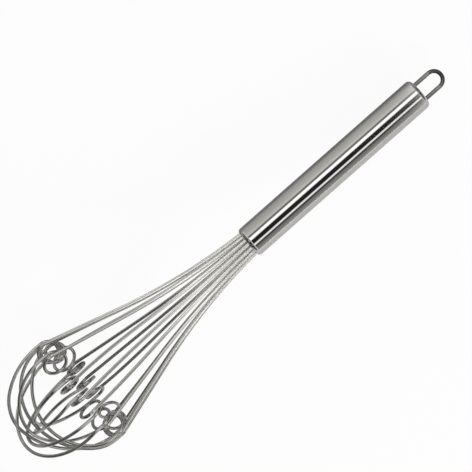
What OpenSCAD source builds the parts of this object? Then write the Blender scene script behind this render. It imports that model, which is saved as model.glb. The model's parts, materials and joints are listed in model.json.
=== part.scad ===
// Dough whisk: a tube handle with a hang loop, and a balloon of eight wires.
// Each wire is one piece with two legs, and each leg has one round inward curl at the widest ring.
// The wires cross at the tip, one inside the other. All sizes are in millimetres.

/* [Handle] */
// Length of the handle tube
handle_len = 122; // [95:1:160]
// Outer diameter of the handle tube
handle_d = 18; // [17:0.5:22]
// Wall of the handle tube
handle_wall = 0.8; // [0.6:0.1:1]
// Outer radius of the two rolled rims
rim_roll = 2.5; // [2.2:0.1:3]

/* [Hang loop] */
// Diameter of the loop's wire
loop_wire_d = 2.3; // [1.6:0.1:2.8]
// Distance between the loop's two legs, centre to centre
loop_legs = 9.4; // [8:0.1:10]
// How far the loop stands out behind the handle
loop_reach = 16.4; // [12:0.2:24]
// How far the loop's legs reach past the cap, inside the handle
loop_tail = 2; // [1:0.5:6]

/* [End cap] */
// Length of the cap's body inside the handle
cap_len = 7; // [4:0.5:12]
// Height of the cap's domed face
cap_dome = 1; // [0.5:0.1:1.5]

/* [Core] */
// Wall of the core outside the wire bores
core_edge = 0.65; // [0.5:0.05:0.8]
// Depth of the wire ends below the mouth
wire_in = 28; // [20:1:40]
// Solid end of the core behind the wire bores
core_end = 3; // [2:0.5:6]
// Thickness of the sealing disc in the mouth
seal_t = 2; // [1:0.25:4]

/* [Wires] */
// Diameter of the whisk wires
wire_d = 1.8; // [1.4:0.1:2]
// Length of each leg's first stretch, which flares only a little
flare_len = 8; // [4:1:16]
// Angle of that first stretch to the handle's axis
flare = 4.5; // [2:0.5:6]
// Bending radius between the first stretch and the leg
bend_r = 325; // [250:5:400]
// Angle of the legs to the handle's axis
leg_a = 16.5; // [14:0.5:18]
// Depth below the mouth at which the legs end and the curls start
curl_s = 116; // [105:1:130]
// Radius of a curl's centreline
curl_r = 5.5; // [5:0.1:6.5]
// Straight stretch below each curl
curl_drop = 5; // [3:0.5:7]
// Drop from the curls' start to the tip, at the outermost wire
tip_drop = 45; // [40:0.5:50]
// Distance from a wire's lowest point within which a turned leg comes back to its own plane
turn_blend = 10; // [6:0.5:14]

/* [Fits] */
// Radial clearance round each wire in its bore, its seal and the rolled mouth
wire_fit = 0.1; // [0.05:0.05:0.15]
// Clearance round the core, the seal and the cap, and between their faces
core_fit = 0.05; // [0.05:0.01:0.1]
// Clearance between a wire's own two passes where its curl closes
curl_fit = 0.9; // [0.7:0.1:1.2]
// Clearance between the wires where they cross at the tip
tip_fit = 0.2; // [0.1:0.1:0.6]

/* [Hidden] */
WIRES = 8;

// Bearing of the first leg, counted to the right from the side that faces up
first_leg = 2.9;
// Order of the wires at the tip, 0 for the outermost
tip_order = [4, 1, 0, 7, 5, 2, 3, 6];
// Room that each wire leaves there beyond what the crossing wires need, in wire diameters
tip_room = [0.45, 0.9, 0, 0.65, 0.6, 0.4, 0.45, 0.3];
// Where each wire's lowest point lies, in curl radii from the axis towards its second leg
tip_off = [0, 0, 0, 0, 0.55, 1.3, 0, 0];
// and sideways from the axis, in curl radii
tip_side = [0, 0, 0, 0, 0, 0, 0, 0.3];
// The wires are bent by hand, so each leg differs a little. First leg and second leg of each wire:
// how far the leg is swung round the axis above its curl, in degrees
swing = [[0, 2.5], [-0.5, -1], [-4, 2], [0, 3], [0, 0], [0, -8], [-2, -6], [5, 1.5]];
// how far the curl is turned round the axis, in degrees
turn = [[0.8, 0.4], [-1.8, -2.5], [-6, 1.5], [0, -1.5], [0, 0], [-2, -14], [-2, -9], [7, 5.4]];
// how far the curl's own plane is twisted, in degrees
twist = [[0, 0], [2, -7], [0, 0], [0, 0], [0, 0], [0, 0], [0, 0], [0, -2]];
// how far the curl sits nearer to the handle, in curl radii
lift = [[-0.1, -0.15], [-0.15, 0.1], [-0.1, 0.1], [0.05, 0], [0, 0], [0, -0.1], [0, 0.05], [-0.15, -0.1]];
// the size of the curl
curl_size = [[1, 1], [1.1, 0.95], [1.05, 1.25], [1, 1], [1, 1], [1, 1], [1.05, 1.15], [0.95, 1]];
// the side on which the wire leaves its curl
curl_side = [[-1, -1], [1, -1], [-1, 1], [-1, -1], [-1, -1], [-1, -1], [-1, -1], [-1, -1]];
// and how far the wire springs back sideways below it, in curl radii
spring = [[0.25, 0.35], [0, 0], [0.4, 0], [0, 0], [0, 0], [0, 0], [0, 0], [0, 0]];
// The two legs that the whisk lies on, as wire and leg
rest_legs = [[7, 0], [0, 1]];
// Share of the quarter turn below the curls that has the wider radius, in degrees
wide_arc = 34;
// How sharply a leg leaves its own line to meet its curl
LEG_EASE = 4;

// Steps along the bend, the leg, the curl, and the two arcs below it
BEND_N = 3;
LEG_N = 3;
CURL_N = 20;
WIDE_N = 4;
TIGHT_N = 8;
WIRE_SIDES = 8;

wire_r = wire_d / 2;
leg_step = 180 / WIRES;
tip_pitch = wire_d + tip_fit;
curl_shift = wire_d + curl_fit;

bore_r = handle_d / 2 - handle_wall;
core_r = bore_r - core_fit;
hole_r = wire_r + wire_fit;
ring_r = core_r - core_edge - hole_r;
mouth_r = core_r - core_edge;

// The rims are rolled in until their inner edge is as wide as the mouth
rim_c = handle_d / 2 - rim_roll;
rim_in = rim_roll - handle_wall;
rim_turn = acos((mouth_r - rim_c) / rim_in);
rim_z = rim_roll * sin(rim_turn);

seal_z = rim_z + core_fit;
core_z = seal_z + seal_t + core_fit;
core_top = wire_in + wire_fit + core_end;

cap_top = handle_len - rim_z - core_fit;
cap_z = cap_top - cap_len;
boss_r = mouth_r - wire_fit;
dome_r = (boss_r * boss_r + cap_dome * cap_dome) / (2 * cap_dome);

loop_r = loop_legs / 2;
loop_wire_r = loop_wire_d / 2;
loop_z = handle_len + loop_reach - loop_r - loop_wire_r;
loop_foot = cap_z - loop_tail;

function unit(v) = v / norm(v);
function root(f, low, high, n = 24) =
    let (m = (low + high) / 2)
    n == 0 ? m : f(m) > 0 ? root(f, low, m, n - 1) : root(f, m, high, n - 1);

// Eases from nothing at the wire's lowest point to a straight slope further out
function eased(x) = sqrt(x * x + turn_blend * turn_blend) - turn_blend;

// One leg, from its end in the core to the wire's lowest point. Each point is
// [distance from the axis, sideways, depth below the mouth].
function leg_points(k, i) =
    let (
        flare_r = ring_r + flare_len * tan(flare),
        bend = [for (j = [0:BEND_N]) let (a = flare + (leg_a - flare) * j / BEND_N)
            [flare_r + bend_r * (cos(flare) - cos(a)), flare_len + bend_r * (sin(a) - sin(flare))]],
        top = bend[BEND_N],
        start_s = curl_s - lift[k][i] * curl_r,
        start_r = top.x + tan(leg_a) * (start_s - top.y),
        lean = start_r * tan(turn[k][i]),
        shift = curl_side[k][i] * curl_shift,
        start_w = lean - shift / 2,
        swung = tan(swing[k][i]),
        meet = start_w - start_r * swung,
        straight = [for (j = [1:LEG_N]) let (q = j / LEG_N)
            [top.x + q * (start_r - top.x), top.y + q * (start_s - top.y)]],
        above = concat([[ring_r, -wire_in], [ring_r, 0]], bend, straight),
        cr = curl_r * curl_size[k][i],
        total = 360 + leg_a,
        curl = [for (j = [1:CURL_N])
            let (
                t = total * j / CURL_N,
                b = t - leg_a,
                in = cr * (cos(b) - cos(leg_a)))
            [start_r + in, lean * (1 + in / start_r) + in * tan(twist[k][i]) + shift * (t / total - 0.5),
                start_s + cr * (sin(b) + sin(leg_a))]],
        out = curl[CURL_N - 1],
        // The two arcs below the curl end level at the wire's lowest point
        end_r = off_axis(k) * (i == 0 ? -1 : 1),
        end_w = tip_side[k] * curl_r * (i == 0 ? 1 : -1),
        drop_s = out.z + curl_drop,
        reach = out.x - end_r,
        depth = tip_depth(k) - drop_s,
        c = cos(wide_arc),
        d = sin(wide_arc),
        wide_r = (reach * (1 - d) - depth * c) / (1 - c - d),
        tight_r = (depth * (1 - c) - reach * d) / (1 - c - d),
        wide = [for (j = [0:WIDE_N]) let (b = wide_arc * j / WIDE_N)
            [out.x - wide_r * (1 - cos(b)), drop_s + wide_r * sin(b)]],
        join = wide[WIDE_N],
        tight = [for (j = [1:TIGHT_N]) let (b = wide_arc + (90 - wide_arc) * j / TIGHT_N)
            [join.x - tight_r * (c - cos(b)), join.y + tight_r * (sin(b) - d)]]
    )
    concat(
        [for (p = above) [p.x, above_w(p.x, swung, meet, start_r), p.y]],
        curl,
        [for (p = concat(wide, tight))
            [p.x, end_w + (out.y - end_w) * eased(p.x - end_r) / eased(reach)
                + spring[k][i] * curl_r * sin(180 * (p.y - drop_s) / depth), p.y]]);

// Sideways place of a leg above its curl: along its swung line, then over to where the curl starts
function above_w(r, swung, meet, start_r) =
    (r - ring_r) * swung * start_r / (start_r - ring_r) + meet * pow((r - ring_r) / (start_r - ring_r), LEG_EASE);

function off_axis(k) = tip_off[k] * curl_r;

// Depth of a wire's lowest point. Where that point is off the axis, the wire still crosses the
// axis at its own place in the nest.
function tip_depth(k) =
    curl_s + tip_drop - tip_order[k] * tip_pitch - tip_room[k] * wire_d
    + off_axis(k) * off_axis(k) / (2 * (balloon_r + abs(off_axis(k))));

balloon_r = ring_r + flare_len * tan(flare) + bend_r * (cos(flare) - cos(leg_a))
    + tan(leg_a) * (curl_s - flare_len - bend_r * (sin(leg_a) - sin(flare)));

// A leg's points in the handle's own frame: the mouth at z = 0 and the handle above it
function placed(points, bearing) =
    [for (p = points) [p.x * cos(bearing) - p.y * sin(bearing), p.x * sin(bearing) + p.y * cos(bearing), -p.z]];
function leg_bearing(k, i) = first_leg + k * leg_step + 180 * i;
function leg(k, i) = placed(leg_points(k, i), leg_bearing(k, i));
legs = [for (k = [0:WIRES - 1]) [leg(k, 0), leg(k, 1)]];

// A whole wire: down its first leg and back up its second
function wire_points(k) =
    let (first = legs[k][0], second = legs[k][1], last = len(second) - 2)
    concat(first, [for (j = [last:-1:0]) second[j]]);

// The whisk lies on two wires and on the rear rim. Height of a set of points once it is rolled
// about its axis and the tip is raised:
function heights(points, roll, tilt) =
    [for (p = points) (p.x * cos(roll) - p.y * sin(roll)) * cos(tilt) - p.z * sin(tilt)];
function lowest(points, roll, tilt) = min(heights(points, roll, tilt)) - wire_r;
function rim_low(tilt) = -rim_c * cos(tilt) - (handle_len - rim_z) * sin(tilt) - rim_roll;
function rest_leg(i) = legs[rest_legs[i][0]][rest_legs[i][1]];
all_points = [for (wire = legs) each [for (half = wire) each half]];
rest_tilt_guess = asin((balloon_r - handle_d / 2) / (curl_s + handle_len));
rest_roll = root(function (a) lowest(rest_leg(1), a, rest_tilt_guess)
    - lowest(rest_leg(0), a, rest_tilt_guess), -15, 15);
tilt = root(function (a) lowest(all_points, rest_roll, a) - rim_low(a), 0, 15);
rest_z = -rim_low(tilt);
// Half way between the tip and the loop's end
function along(p) = -p.x * sin(tilt) - p.z * cos(tilt);
tip_x = max([for (p = all_points) along([p.x * cos(rest_roll) - p.y * sin(rest_roll), 0, p.z])]) + wire_r;
loop_x = along([0, 0, loop_z]) - loop_r - loop_wire_r;
rest_x = -(tip_x + loop_x) / 2;

// Lays the upright whisk down: the tip towards +X, the side of bearing 0 up
module lay() {
    translate([rest_x, 0, rest_z]) rotate([0, -90 - tilt, 0]) rotate([0, 0, rest_roll]) children();
}

module rim_section() {
    translate([rim_c, 0]) intersection() {
        difference() {
            circle(rim_roll, $fn = 96);
            circle(rim_in, $fn = 96);
        }
        polygon(2 * rim_roll * [[0, 0], [1, 0], [cos(rim_turn / 2), -sin(rim_turn / 2)],
            [cos(rim_turn), -sin(rim_turn)]]);
    }
}

module handle_tube() {
    color("silver") lay() rotate_extrude($fn = 96) {
        translate([0, rim_z]) rim_section();
        translate([bore_r, rim_z]) square([handle_wall, handle_len - 2 * rim_z]);
        translate([0, handle_len - rim_z]) mirror([0, 1]) rim_section();
    }
}

module ring_of_bores(z, length) {
    for (k = [0:2 * WIRES - 1]) rotate([0, 0, first_leg + k * leg_step])
        translate([ring_r, 0, z]) cylinder(r = hole_r, h = length, $fn = 32);
}

module wire_core() {
    color("dimgray") lay() difference() {
        translate([0, 0, core_z]) cylinder(r = core_r, h = core_top - core_z, $fn = 96);
        ring_of_bores(core_z - 1, wire_in + wire_fit - core_z + 1);
    }
}

module mouth_seal() {
    color("black") lay() difference() {
        translate([0, 0, seal_z]) cylinder(r = core_r, h = seal_t, $fn = 96);
        ring_of_bores(seal_z - 1, seal_t + 2);
    }
}

module end_cap() {
    color("gray") lay() difference() {
        union() {
            translate([0, 0, cap_z]) cylinder(r = core_r, h = cap_len, $fn = 96);
            intersection() {
                translate([0, 0, cap_top]) cylinder(r = boss_r, h = handle_len - cap_top, $fn = 96);
                translate([0, 0, handle_len - dome_r]) sphere(dome_r, $fn = 192);
            }
        }
        for (side = [-1, 1]) translate([0, side * loop_r, cap_z - 1])
            cylinder(r = loop_wire_r + wire_fit, h = handle_len - cap_z + 2, $fn = 48);
    }
}

module hang_loop() {
    color("silver") lay() union() {
        translate([0, 0, loop_z]) rotate([90, 0, 90])
            rotate_extrude(angle = 180, $fn = 96) translate([loop_r, 0]) circle(loop_wire_r, $fn = 48);
        // Each leg ends in a ball of its own size, inside the arc's end
        for (side = [-1, 1]) translate([0, side * loop_r, loop_foot]) {
            cylinder(r = loop_wire_r, h = loop_z - loop_foot, $fn = 48);
            translate([0, 0, loop_z - loop_foot]) sphere(loop_wire_r, $fn = 48);
        }
    }
}

// A round wire through a row of points. No stretch of it runs along the vector across.
module tube(points, across) {
    n = len(points);
    m = WIRE_SIDES;
    rings = [for (i = [0:n - 1])
        let (
            along = unit(points[min(i + 1, n - 1)] - points[max(i - 1, 0)]),
            u = unit(cross(across, along)),
            v = cross(along, u))
        for (j = [0:m - 1]) points[i] + wire_r * (cos(360 * j / m) * u + sin(360 * j / m) * v)];
    walls = [for (i = [0:n - 2], j = [0:m - 1])
        let (a = i * m + j, b = i * m + (j + 1) % m)
        each [[a, a + m, b + m], [a, b + m, b]]];
    ends = [for (j = [1:m - 2]) each [[0, j, j + 1], [(n - 1) * m, (n - 1) * m + j + 1, (n - 1) * m + j]]];
    polyhedron(rings, concat(walls, ends));
}

module wire(k) {
    bearing = leg_bearing(k, 0);
    color("lightgray") lay() tube(wire_points(k), [-sin(bearing), cos(bearing), 0]);
}

// Least distance between two straight stretches, for the clearances printed below
function clamped(x) = max(0, min(1, x));
function stretch_gap(a, b, c, d) =
    let (
        u = b - a,
        v = d - c,
        w = a - c,
        det = (u * u) * (v * v) - (u * v) * (u * v),
        s0 = det < 0.000001 ? 0 : clamped(((u * v) * (v * w) - (v * v) * (u * w)) / det),
        t = clamped((s0 * (u * v) + v * w) / (v * v)),
        s = clamped((t * (u * v) - u * w) / (u * u)))
    norm(w + s * u - t * v);
function line_gap(p, q, apart) =
    min([for (i = [0:len(p) - 2], j = [0:len(q) - 2]) if (j - i > apart) stretch_gap(p[i], p[i + 1], q[j], q[j + 1])]);
// The stretch of a leg from above its curl to below it
CURL_START = BEND_N + LEG_N + 1;
function curl_part(k, i) = [for (j = [CURL_START:CURL_START + CURL_N + 3]) legs[k][i][j]];
self_gap = min([for (k = [0:WIRES - 1], i = [0, 1])
    line_gap(curl_part(k, i), curl_part(k, i), CURL_N / 2)]) - wire_d;
function next_leg(n) = curl_part(n % WIRES, floor(n / WIRES) % 2);
leg_gap = min([for (n = [0:2 * WIRES - 1]) line_gap(next_leg(n), next_leg(n + 1), -CURL_N * 2)]) - wire_d;
echo(least_gap_in_a_curl = self_gap, least_gap_between_curls = leg_gap, gap_at_the_tip = tip_pitch - wire_d);
echo(tilt = tilt, rest_roll = rest_roll, rest_x = rest_x, rest_z = rest_z);

handle_tube();
end_cap();
hang_loop();
wire_core();
mouth_seal();
for (k = [1:WIRES]) wire(k - 1);
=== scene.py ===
import json
import math

import bpy
from mathutils import Matrix, Vector


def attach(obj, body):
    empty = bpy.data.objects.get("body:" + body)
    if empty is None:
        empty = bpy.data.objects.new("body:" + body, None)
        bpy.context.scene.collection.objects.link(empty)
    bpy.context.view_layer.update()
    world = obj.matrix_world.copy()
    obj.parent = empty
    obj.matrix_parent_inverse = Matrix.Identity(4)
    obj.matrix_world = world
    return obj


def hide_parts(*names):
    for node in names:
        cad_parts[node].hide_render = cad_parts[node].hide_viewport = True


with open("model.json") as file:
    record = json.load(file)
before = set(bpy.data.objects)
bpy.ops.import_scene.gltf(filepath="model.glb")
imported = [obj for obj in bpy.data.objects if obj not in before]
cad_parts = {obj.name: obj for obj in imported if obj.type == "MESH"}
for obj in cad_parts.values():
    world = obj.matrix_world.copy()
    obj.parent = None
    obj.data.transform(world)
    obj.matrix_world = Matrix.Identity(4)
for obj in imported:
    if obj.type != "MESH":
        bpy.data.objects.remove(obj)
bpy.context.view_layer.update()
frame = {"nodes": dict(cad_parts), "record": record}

MM = 0.001

# Sizes from the CAD source, in millimetres and degrees
HANDLE_LEN = 122
WIRES = 8
WIRE_D = 1.8
# Radius of the ring that the wire ends sit on, and their depth below the mouth
RING_R = 6.5
WIRE_IN = 28
# A leg's first stretch, the bend after it, and the leg's own angle to the handle's axis
FLARE_LEN = 8
FLARE = 4.5
BEND_R = 325
LEG_A = 16.5
# The curls: depth of their start below the mouth, radius, room where they close, and the stretch below
CURL_S = 116
CURL_R = 5.5
CURL_FIT = 0.9
CURL_DROP = 5
# Drop from the curls' start to the outermost wire's tip, and what each place in the order there adds to a
# wire's own width
TIP_DROP = 45
TIP_FIT = 0.2
# Degrees of the quarter turn below the curls that have the wider radius
WIDE_ARC = 34
# Distance from a wire's lowest point within which a turned leg comes back to its own plane
TURN_BLEND = 10
# How sharply a leg leaves its own line to meet its curl
LEG_EASE = 4
# Bearing of the first leg, counted to the right from the upper side, and the roll that the whisk lies at
FIRST_LEG = 2.9
REST_ROLL = 1.564

# What each wire has of its own: its place at the tip, 0 for the outermost
TIP_ORDER = [4, 1, 0, 7, 5, 2, 3, 6]
# and how far it lies inside that place, in wire diameters. Known fault: with these values, wires 2 and 6
# overlap by 0.75 mm where they cross, and wires 5 and 8 by 0.22 mm.
TIP_ROOM = [0.45, 0.9, 0, 0.65, 0.6, 0.4, 0.45, 0.3]
# Where its lowest point lies, in curl radii, towards its second leg and sideways
TIP_OFF = [0, 0, 0, 0, 0.55, 1.3, 0, 0]
TIP_SIDE = [0, 0, 0, 0, 0, 0, 0, 0.3]
# What each wire's two legs have of their own: how far the leg is swung round the axis, in degrees
SWING = [[0, 2.5], [-0.5, -1], [-4, 2], [0, 3], [0, 0], [0, -8], [-2, -6], [5, 1.5]]
# how far its curl is turned round the axis, in degrees
TURN = [[0.8, 0.4], [-1.8, -2.5], [-6, 1.5], [0, -1.5], [0, 0], [-2, -14], [-2, -9], [7, 5.4]]
# how far the curl's own plane is twisted, in degrees
TWIST = [[0, 0], [2, -7], [0, 0], [0, 0], [0, 0], [0, 0], [0, 0], [0, -2]]
# how far the curl sits nearer to the handle, in curl radii
LIFT = [[-0.1, -0.15], [-0.15, 0.1], [-0.1, 0.1], [0.05, 0], [0, 0], [0, -0.1], [0, 0.05], [-0.15, -0.1]]
# the curl's size
CURL_SIZE = [[1, 1], [1.1, 0.95], [1.05, 1.25], [1, 1], [1, 1], [1, 1], [1.05, 1.15], [0.95, 1]]
# the side on which the wire leaves it
CURL_SIDE = [[-1, -1], [1, -1], [-1, 1], [-1, -1], [-1, -1], [-1, -1], [-1, -1], [-1, -1]]
# and how far the wire springs back sideways below it, in curl radii
SPRING = [[0.25, 0.35], [0, 0], [0.4, 0], [0, 0], [0, 0], [0, 0], [0, 0], [0, 0]]

# Points along a wire before it is evened out, its even step in millimetres, and its sides
BEND_STEPS = 16
LEG_STEPS = 12
CURL_STEPS = 72
WIDE_STEPS = 12
TIGHT_STEPS = 26
EVEN_STEP = 0.7
EASINGS = 4
WIRE_SIDES = 20


def cosd(x):
    return math.cos(math.radians(x))


def sind(x):
    return math.sin(math.radians(x))


def tand(x):
    return math.tan(math.radians(x))


# The tool's own directions: towards the handle's end, out of its upper side, and to the right of both
GRIP = next(m for m in frame["record"]["mounts"] if m["name"] == "handle_grip")
HANDLEWARD = Vector(GRIP["axis"]).normalized()
TILT = math.degrees(math.asin(-HANDLEWARD.z))
UP_SIDE = Vector((-cosd(REST_ROLL) * sind(TILT), sind(REST_ROLL), cosd(REST_ROLL) * cosd(TILT)))
RIGHT_SIDE = Vector((sind(REST_ROLL) * sind(TILT), cosd(REST_ROLL), -sind(REST_ROLL) * cosd(TILT)))
MOUTH = Vector(GRIP["pos_m"]) - HANDLEWARD * (HANDLE_LEN / 2 * MM)


def place(p):
    """A point of the tool's own frame, in millimetres, as a point of the row frame."""
    return MOUTH + MM * (p[0] * UP_SIDE + p[1] * RIGHT_SIDE + p[2] * HANDLEWARD)


# Node helpers
def feed(tree, value, socket):
    """Gives a socket a number or colour of its own, or links it to another node's output."""
    if isinstance(value, bpy.types.NodeSocket):
        tree.links.new(value, socket)
    else:
        socket.default_value = value


def math_node(tree, operation, *values):
    node = tree.nodes.new("ShaderNodeMath")
    node.operation = operation
    for value, socket in zip(values, node.inputs):
        feed(tree, value, socket)
    return node.outputs["Value"]


def along(tree, vector, axis):
    """How far the vector reaches along an axis."""
    node = tree.nodes.new("ShaderNodeVectorMath")
    node.operation = "DOT_PRODUCT"
    node.inputs[1].default_value = axis
    tree.links.new(vector, node.inputs[0])
    return node.outputs["Value"]


def map_range(tree, value, span, result):
    """A value in one span as its place in another."""
    node = tree.nodes.new("ShaderNodeMapRange")
    for name, number in zip(("From Min", "From Max", "To Min", "To Max"), (*span, *result)):
        node.inputs[name].default_value = number
    tree.links.new(value, node.inputs["Value"])
    return node.outputs["Result"]


def ramp(tree, value, stops):
    """Colours between stops, each of them a place and a colour."""
    node = tree.nodes.new("ShaderNodeValToRGB")
    points = node.color_ramp.elements
    while len(points) > 1:
        points.remove(points[-1])
    points[0].position = stops[0][0]
    points[0].color = (*stops[0][1], 1)
    for position, colour in stops[1:]:
        points.new(position).color = (*colour, 1)
    tree.links.new(value, node.inputs["Fac"])
    return node.outputs["Color"]


def shader_mix(tree, share, first, second):
    """Two shaders, with the share of the second."""
    node = tree.nodes.new("ShaderNodeMixShader")
    for output, socket in zip((share, first, second), node.inputs):
        tree.links.new(output, socket)
    return node.outputs["Shader"]


def colour_mix(tree, share, first, second):
    """Two colours, with the share of the second."""
    node = tree.nodes.new("ShaderNodeMix")
    node.data_type = "RGBA"
    sockets = [node.inputs["Factor"], *(s for s in node.inputs if s.type == "RGBA")]
    for output, socket in zip((share, first, second), sockets):
        tree.links.new(output, socket)
    return next(s for s in node.outputs if s.type == "RGBA")


def grey(x):
    return (x, x, x)


# Materials
def new_material(name):
    material = bpy.data.materials.new(name)
    material.use_nodes = True
    return material, material.node_tree, material.node_tree.nodes["Principled BSDF"]


def streaks(tree, vector, scale, detail):
    """Noise at the scale given for each axis of the vector."""
    mapping = tree.nodes.new("ShaderNodeMapping")
    mapping.inputs["Scale"].default_value = scale
    noise = tree.nodes.new("ShaderNodeTexNoise")
    noise.inputs["Scale"].default_value = 1
    noise.inputs["Detail"].default_value = detail
    tree.links.new(vector, mapping.inputs["Vector"])
    tree.links.new(mapping.outputs["Vector"], noise.inputs["Vector"])
    return noise.outputs["Fac"]


def object_place(tree):
    return tree.nodes.new("ShaderNodeTexCoord").outputs["Object"]


def tool_vector(tree):
    """The place in the tool's own frame, with the handle's axis as its third axis."""
    spot = object_place(tree)
    parts = tree.nodes.new("ShaderNodeCombineXYZ")
    for name, axis in zip("XYZ", (UP_SIDE, RIGHT_SIDE, HANDLEWARD)):
        tree.links.new(along(tree, spot, axis), parts.inputs[name])
    return parts.outputs["Vector"]


def wire_vector(tree):
    """The place on a wire, with its length as the third axis."""
    node = tree.nodes.new("ShaderNodeAttribute")
    node.attribute_name = "drawn"
    return node.outputs["Vector"]


def bump(tree, shader, height, strength, distance):
    node = tree.nodes.new("ShaderNodeBump")
    node.inputs["Strength"].default_value = strength
    node.inputs["Distance"].default_value = distance
    tree.links.new(height, node.inputs["Height"])
    tree.links.new(node.outputs["Normal"], shader.inputs["Normal"])


# The middle of the noise's range, where most of its values lie
BROAD_SPAN = (0.3, 0.7)
FINE_SPAN = (0.35, 0.65)
MARK_HEIGHT = 0.02 * MM
GRAIN_HEIGHT = 0.1 * MM
GRAIN_BUMP = 0.3


def clouds(tree, noise, dark, light):
    return ramp(tree, noise, list(zip(BROAD_SPAN, (dark, light))))


def steel(name, vector, light, dark, rough, relief, fine, broad, finish_and_painted_shade=None):
    """Stainless steel with broad clouds in its colour, and fine marks in its roughness and relief."""
    material, tree, shader = new_material(name)
    spot = vector(tree)
    marks = streaks(tree, spot, fine, detail=3)
    colour = clouds(tree, streaks(tree, spot, broad, detail=2), dark, light)
    roughness = map_range(tree, marks, FINE_SPAN, rough)
    if finish_and_painted_shade:
        colour, roughness = finish_and_painted_shade(tree, colour, roughness)
    shader.inputs["Metallic"].default_value = 1
    tree.links.new(colour, shader.inputs["Base Color"])
    tree.links.new(roughness, shader.inputs["Roughness"])
    if relief:
        bump(tree, shader, marks, relief, MARK_HEIGHT)
    return material


# Depths below the mouth, in millimetres, between which the wires' colour falls to a share of itself:
# painted light near the mouth and painted shade towards the tip
PAINTED_LIGHT_ABOVE = 12
PAINTED_SHADE_BELOW = 95
PAINTED_SHADE_SHARE = 0.51
# Depths between which the roughness that satin adds falls to nothing
SATIN_ABOVE = 8
BARE_BELOW = 40
SATIN = 0.28


def satin_and_painted_shade_wire(tree, colour, roughness):
    """Wires are satin just outside the mouth; their colour is painted lighter near the mouth and painted
    darker, as shade, towards the working end.
    """
    height = along(tree, object_place(tree), HANDLEWARD)
    mouth = HANDLEWARD.dot(MOUTH)
    # Painted shade: the wires' colour is darker towards the tip
    painted_shade_share = map_range(tree, height, (mouth - PAINTED_SHADE_BELOW * MM, mouth - PAINTED_LIGHT_ABOVE * MM), (PAINTED_SHADE_SHARE, 1))
    satin = map_range(tree, height, (mouth - BARE_BELOW * MM, mouth - SATIN_ABOVE * MM), (0, SATIN))
    scaled = tree.nodes.new("ShaderNodeVectorMath")
    scaled.operation = "SCALE"
    tree.links.new(colour, scaled.inputs[0])
    tree.links.new(painted_shade_share, scaled.inputs["Scale"])
    return scaled.outputs["Vector"], math_node(tree, "ADD", roughness, satin)


def polymer(name, light, dark, rough, size):
    """Moulded plastic or rubber with a fine grain."""
    material, tree, shader = new_material(name)
    grain = streaks(tree, tool_vector(tree), (size, size, size), detail=4)
    tree.links.new(clouds(tree, grain, dark, light), shader.inputs["Base Color"])
    tree.links.new(map_range(tree, grain, (0, 1), rough), shader.inputs["Roughness"])
    bump(tree, shader, grain, GRAIN_BUMP, GRAIN_HEIGHT)
    return material


HANDLE_STEEL = steel("handle_steel_look", tool_vector, (0.61, 0.605, 0.59), (0.57, 0.565, 0.55),
                     (0.04, 0.08), 0.02, (9000, 9000, 60), (120, 120, 40))
# The end cap's colours are darker than steel: painted shade for the dark line at the handle's end
CAP_PAINTED_SHADE_STEEL = steel("cap_steel_look", tool_vector, (0.3, 0.295, 0.29), (0.25, 0.245, 0.24),
                  (0.22, 0.34), 0.1, (5000, 5000, 5000), (300, 300, 300))
# The hang loop's colours are far darker than steel: painted shade standing in for its dark reflections
LOOP_PAINTED_SHADE_STEEL = steel("loop_steel_look", tool_vector, (0.15, 0.146, 0.142), (0.12, 0.117, 0.113),
                   (0.06, 0.1), 0.02, (3000, 3000, 300), (300, 300, 100))
# The wires' colours are far lighter than real steel: painted light
WIRE_STEEL_PAINTED_LIGHT = steel("wire_steel_look", wire_vector, (0.9, 0.895, 0.87), (0.84, 0.835, 0.81),
                   (0.11, 0.17), 0, (2500, 2500, 60), (400, 400, 25), satin_and_painted_shade_wire)
CORE_PLASTIC = polymer("core_plastic_look", (0.12, 0.12, 0.125), (0.08, 0.08, 0.085), (0.4, 0.55), 4000)
SEAL_RUBBER = polymer("seal_rubber_look", grey(0.03), grey(0.02), (0.6, 0.8), 5000)


# The wires
def eased(x):
    return math.sqrt(x * x + TURN_BLEND * TURN_BLEND) - TURN_BLEND


FLARE_R = RING_R + FLARE_LEN * tand(FLARE)


def bend_point(a):
    return (FLARE_R + BEND_R * (cosd(FLARE) - cosd(a)), FLARE_LEN + BEND_R * (sind(a) - sind(FLARE)))


BEND_TOP = bend_point(LEG_A)
BALLOON_R = BEND_TOP[0] + tand(LEG_A) * (CURL_S - BEND_TOP[1])


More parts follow.
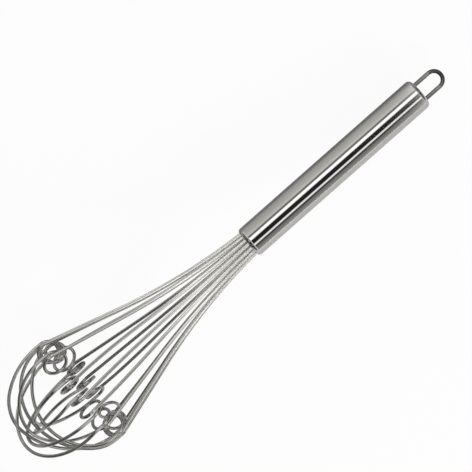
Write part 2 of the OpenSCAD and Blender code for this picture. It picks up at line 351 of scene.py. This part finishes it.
def leg_points(k, i):
    """One leg from its end in the core to the wire's lowest point, as (out, sideways, down)."""
    start_s = CURL_S - LIFT[k][i] * CURL_R
    start_r = BEND_TOP[0] + tand(LEG_A) * (start_s - BEND_TOP[1])
    lean = start_r * tand(TURN[k][i])
    shift = CURL_SIDE[k][i] * (WIRE_D + CURL_FIT)
    start_w = lean - shift / 2
    swung = tand(SWING[k][i]) * start_r
    meet = start_w - swung

    above = [(RING_R, -WIRE_IN), (RING_R, 0)]
    for j in range(BEND_STEPS + 1):
        above.append(bend_point(FLARE + (LEG_A - FLARE) * j / BEND_STEPS))
    for j in range(1, LEG_STEPS + 1):
        q = j / LEG_STEPS
        above.append((BEND_TOP[0] + q * (start_r - BEND_TOP[0]), BEND_TOP[1] + q * (start_s - BEND_TOP[1])))
    points = []
    for r, s in above:
        q = (r - RING_R) / (start_r - RING_R)
        points.append((r, swung * q + meet * q ** LEG_EASE, s))

    curl = CURL_R * CURL_SIZE[k][i]
    total = 360 + LEG_A
    for j in range(1, CURL_STEPS + 1):
        t = total * j / CURL_STEPS
        b = t - LEG_A
        inward = curl * (cosd(b) - cosd(LEG_A))
        side = lean * (1 + inward / start_r) + inward * tand(TWIST[k][i]) + shift * (t / total - 0.5)
        points.append((start_r + inward, side, start_s + curl * (sind(b) + sind(LEG_A))))

    out_r, out_w, out_s = points[-1]
    off_axis = TIP_OFF[k] * CURL_R
    end_r = off_axis * (-1 if i == 0 else 1)
    end_w = TIP_SIDE[k] * CURL_R * (1 if i == 0 else -1)
    drop_s = out_s + CURL_DROP
    reach = out_r - end_r
    tip = CURL_S + TIP_DROP - TIP_ORDER[k] * (WIRE_D + TIP_FIT) - TIP_ROOM[k] * WIRE_D
    tip += off_axis ** 2 / (2 * (BALLOON_R + abs(off_axis)))
    depth = tip - drop_s
    c = cosd(WIDE_ARC)
    d = sind(WIDE_ARC)
    wide_r = (reach * (1 - d) - depth * c) / (1 - c - d)
    tight_r = (depth * (1 - c) - reach * d) / (1 - c - d)
    below = []
    for j in range(WIDE_STEPS + 1):
        b = WIDE_ARC * j / WIDE_STEPS
        below.append((out_r - wide_r * (1 - cosd(b)), drop_s + wide_r * sind(b)))
    join_r, join_s = below[-1]
    for j in range(1, TIGHT_STEPS + 1):
        b = WIDE_ARC + (90 - WIDE_ARC) * j / TIGHT_STEPS
        below.append((join_r - tight_r * (c - cosd(b)), join_s + tight_r * (sind(b) - d)))
    for r, s in below:
        spring = SPRING[k][i] * CURL_R * sind(180 * (s - drop_s) / depth)
        points.append((r, end_w + (out_w - end_w) * eased(r - end_r) / eased(reach) + spring, s))
    return points


def placed_leg(k, i):
    bearing = FIRST_LEG + k * 180 / WIRES + 180 * i
    c = cosd(bearing)
    s = sind(bearing)
    return [Vector((r * c - w * s, r * s + w * c, -depth)) for r, w, depth in leg_points(k, i)]


def resampled(points, step):
    """The same line with a point about every step."""
    lengths = [0]
    for a, b in zip(points, points[1:]):
        lengths.append(lengths[-1] + (b - a).length)
    count = round(lengths[-1] / step)
    line = []
    j = 0
    for n in range(count + 1):
        at = lengths[-1] * n / count
        while j < len(points) - 2 and lengths[j + 1] < at:
            j += 1
        share = (at - lengths[j]) / (lengths[j + 1] - lengths[j])
        line.append(points[j].lerp(points[j + 1], min(share, 1)))
    return line


def relaxed(points, times):
    """The line with its small corners eased."""
    for _ in range(times):
        middle = [(a + b * 2 + c) / 4 for a, b, c in zip(points, points[1:], points[2:])]
        points = [points[0], *middle, points[-1]]
    return points


def tube(name, points, radius, sides):
    """A round wire through the points, with a smooth surface, closed ends and its own place in "drawn"."""
    verts = []
    drawn = []
    across = None
    at = 0
    last = len(points) - 1
    for n, point in enumerate(points):
        ahead = (points[min(n + 1, last)] - points[max(n - 1, 0)]).normalized()
        across = ahead.orthogonal() if across is None else across - ahead * across.dot(ahead)
        across.normalize()
        other = ahead.cross(across)
        if n:
            at += (point - points[n - 1]).length
        for j in range(sides):
            turn = math.tau * j / sides
            spoke = math.cos(turn) * across + math.sin(turn) * other
            verts.append(place(point + radius * spoke))
            drawn.append((MM * radius * math.cos(turn), MM * radius * math.sin(turn), MM * at))
    faces = []
    for n in range(last):
        for j in range(sides):
            a = n * sides + j
            b = n * sides + (j + 1) % sides
            faces.append((a, b, b + sides, a + sides))
    faces.append(tuple(reversed(range(sides))))
    faces.append(tuple(range(last * sides, (last + 1) * sides)))
    mesh = bpy.data.meshes.new(name)
    mesh.from_pydata(verts, [], faces)
    mesh.update()
    mesh.shade_smooth()
    attribute = mesh.attributes.new("drawn", "FLOAT_VECTOR", "POINT")
    attribute.data.foreach_set("vector", [x for v in drawn for x in v])
    piece = bpy.data.objects.new(name, mesh)
    bpy.context.scene.collection.objects.link(piece)
    return piece


def add_wire(k):
    whole = placed_leg(k, 0) + placed_leg(k, 1)[-2::-1]
    line = relaxed(resampled(whole, EVEN_STEP), EASINGS)
    wire = tube(f"whisk_wire_{k + 1}", line, WIRE_D / 2, WIRE_SIDES)
    wire.data.materials.append(WIRE_STEEL_PAINTED_LIGHT)
    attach(wire, "root")
    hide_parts(f"wire_{k + 1}")


for k in range(WIRES):
    add_wire(k)


# Better materials for the solids that stay
def dress(node, material):
    piece = frame["nodes"][node]
    piece.data.materials.clear()
    piece.data.materials.append(material)


dress("handle_tube", HANDLE_STEEL)
dress("end_cap", CAP_PAINTED_SHADE_STEEL)
dress("hang_loop", LOOP_PAINTED_SHADE_STEEL)
dress("wire_core", CORE_PLASTIC)
dress("mouth_seal", SEAL_RUBBER)

# Camera: straight above the whisk's own upper side. The handle's axis rises by this angle in the picture.
AXIS_SLOPE = 41.4
# In millimetres: its distance, and the picture's width at the whisk and centre from the mouth
CAMERA_BACK = 780
PICTURE_WIDTH = 252.85
CENTRE = (-6.62, 4)
# and its sensor's width, and the nearest distance that it shows
SENSOR = 36
NEAREST = 50


def add_camera():
    across = cosd(AXIS_SLOPE) * HANDLEWARD + sind(AXIS_SLOPE) * RIGHT_SIDE
    upwards = sind(AXIS_SLOPE) * HANDLEWARD - cosd(AXIS_SLOPE) * RIGHT_SIDE
    data = bpy.data.cameras.new("camera")
    data.sensor_width = SENSOR
    data.lens = SENSOR * CAMERA_BACK / PICTURE_WIDTH
    data.clip_start = NEAREST * MM
    camera = bpy.data.objects.new("camera", data)
    bpy.context.scene.collection.objects.link(camera)
    pose = Matrix((across, upwards, UP_SIDE)).transposed().to_4x4()
    pose.translation = MOUTH + MM * (CENTRE[0] * across + CENTRE[1] * upwards + CAMERA_BACK * UP_SIDE)
    camera.matrix_world = pose
    bpy.context.scene.camera = camera


# Floor, with its size in metres: pale, and white to the camera except for the whisk's soft shadow
FLOOR_SIZE = 6
FLOOR_GREY = 0.8
SEEN_GLOW = 0.94
MIRRORED_GLOW = 0.04
# The floor that steel mirrors: greys by the distance to the right of the handle's axis, in millimetres; its
# darker greys are painted shadow, deepest just left of the handle
MIRRORED_FLOOR_SHADOW = [(-600, 0.7), (-240, 0.66), (-90, 0.56), (-36, 0.44), (-15, 0.42),
                  (0, 0.8), (100, 0.8), (400, 0.68), (900, 0.62)]


def add_floor():
    bpy.ops.mesh.primitive_plane_add(size=FLOOR_SIZE, location=(0, 0, 0))
    floor = bpy.context.object
    floor.name = "floor"
    material, tree, shader = new_material("floor_look")
    shader.inputs["Base Color"].default_value = (*grey(FLOOR_GREY), 1)
    shader.inputs["Roughness"].default_value = 1
    shader.inputs["Specular IOR Level"].default_value = 0
    glow = tree.nodes.new("ShaderNodeEmission")
    glow.inputs["Color"].default_value = (1, 1, 1, 1)
    path = tree.nodes.new("ShaderNodeLightPath")

    left = MIRRORED_FLOOR_SHADOW[0][0]
    width = MIRRORED_FLOOR_SHADOW[-1][0] - left
    axis = RIGHT_SIDE.dot(MOUTH)
    sideways = along(tree, object_place(tree), RIGHT_SIDE)
    spot = map_range(tree, sideways, (axis + left * MM, axis + (left + width) * MM), (0, 1))
    stops = [((mm - left) / width, grey(x)) for mm, x in MIRRORED_FLOOR_SHADOW]
    shadowed_mirror_floor = tree.nodes.new("ShaderNodeBsdfDiffuse")
    tree.links.new(ramp(tree, spot, stops), shadowed_mirror_floor.inputs["Color"])

    glossy = path.outputs["Is Glossy Ray"]
    matte = shader_mix(tree, glossy, shader.outputs["BSDF"], shadowed_mirror_floor.outputs["BSDF"])
    seen = math_node(tree, "MULTIPLY", path.outputs["Is Camera Ray"], SEEN_GLOW)
    share = math_node(tree, "MULTIPLY_ADD", glossy, MIRRORED_GLOW, seen)
    surface = shader_mix(tree, share, matte, glow.outputs["Emission"])
    tree.links.new(surface, tree.nodes["Material Output"].inputs["Surface"])
    floor.data.materials.append(material)


# A broad soft lamp on the right, which lights the floor: size and distance in metres, power in watts
LAMP_SIZE = 0.5
LAMP_AWAY = 1.6
LAMP_POWER = 26
# How far it stands to the right for each step up
LAMP_LEAN = 2.2


def add_lamp():
    data = bpy.data.lights.new("soft_lamp", "AREA")
    data.shape = "DISK"
    data.size = LAMP_SIZE
    data.energy = LAMP_POWER
    lamp = bpy.data.objects.new("soft_lamp", data)
    bpy.context.scene.collection.objects.link(lamp)
    lamp.location = LAMP_AWAY * (UP_SIDE + LAMP_LEAN * RIGHT_SIDE).normalized()
    lamp.rotation_euler = lamp.location.to_track_quat("Z", "Y").to_euler()
    lamp.visible_glossy = False


# World: studio bands round the handle's axis for steel to mirror, and white to the camera
def around(degrees):
    """A bearing round the handle's axis, 0 towards the camera and 90 to its right, as a ramp's place."""
    return 0.5 + degrees / 360


def axial(degrees):
    """An angle from beside the handle's axis towards its end, as a ramp's place."""
    return 0.5 + sind(degrees) / 2


def warm(x):
    return (x, 0.985 * x, 0.95 * x)


# Beside the handle's axis: what the polished handle shows as bands along its length
BANDS = [
    (around(-84), warm(0.57)), (around(-59), warm(0.68)), (around(-40), warm(0.88)),
    (around(-37), warm(0.28)), (around(-25), warm(0.22)),
    (around(-20), grey(1.8)), (around(-9), grey(1.8)), (around(-6), grey(0.02)),
    (around(26), grey(0.02)), (around(29), grey(1.3)), (around(38), grey(1.3)),
    (around(42), warm(0.05)), (around(49), warm(0.05)),
    (around(55), warm(0.22)), (around(71), warm(0.3)), (around(86), warm(0.46)),
]
# From over the tip to over the handle's end: the dark side of the room, and a soft light
ENDS = [
    (axial(-90), warm(0.06)), (axial(-26), warm(0.04)), (axial(-19), warm(0.7)), (axial(-6), warm(1.1)),
    (axial(9), warm(2.6)), (axial(11), warm(2.2)), (axial(13), warm(1.2)), (axial(20), warm(0.6)),
    (axial(26), warm(0.45)), (axial(32), warm(0.35)), (axial(38), warm(0.04)), (axial(90), warm(0.05)),
]
# Where the bands show in full, and where they go on dimly
BANDS_SHARE = [
    (axial(-52), grey(0.05)), (axial(-47), grey(0.4)), (axial(-37), grey(0.4)), (axial(-31), grey(0)),
    (axial(-8), grey(0)), (axial(-5), grey(1)), (axial(9.3), grey(1)), (axial(9.7), grey(0)),
    (axial(35), grey(0)), (axial(38), grey(0.4)), (axial(48), grey(0.4)), (axial(53), grey(0.05)),
]


def add_world():
    world = bpy.data.worlds.new("studio")
    world.use_nodes = True
    bpy.context.scene.world = world
    tree = world.node_tree
    ray = tree.nodes.new("ShaderNodeTexCoord").outputs["Generated"]
    turn = math_node(tree, "ARCTAN2", along(tree, ray, RIGHT_SIDE), along(tree, ray, UP_SIDE))
    bearing = math_node(tree, "ADD", math_node(tree, "DIVIDE", turn, math.tau), 0.5)
    height = math_node(tree, "ADD", math_node(tree, "DIVIDE", along(tree, ray, HANDLEWARD), 2), 0.5)
    beside = ramp(tree, bearing, BANDS)
    ahead = ramp(tree, height, ENDS)
    studio = colour_mix(tree, ramp(tree, height, BANDS_SHARE), ahead, beside)
    background = tree.nodes["Background"]
    tree.links.new(studio, background.inputs["Color"])
    white = tree.nodes.new("ShaderNodeBackground")
    white.inputs["Color"].default_value = (1, 1, 1, 1)
    path = tree.nodes.new("ShaderNodeLightPath")
    lit = background.outputs["Background"]
    surface = shader_mix(tree, path.outputs["Is Camera Ray"], lit, white.outputs["Background"])
    tree.links.new(surface, tree.nodes["World Output"].inputs["Surface"])


add_camera()
add_floor()
add_lamp()
add_world()
bpy.context.scene.view_settings.view_transform = "Standard"
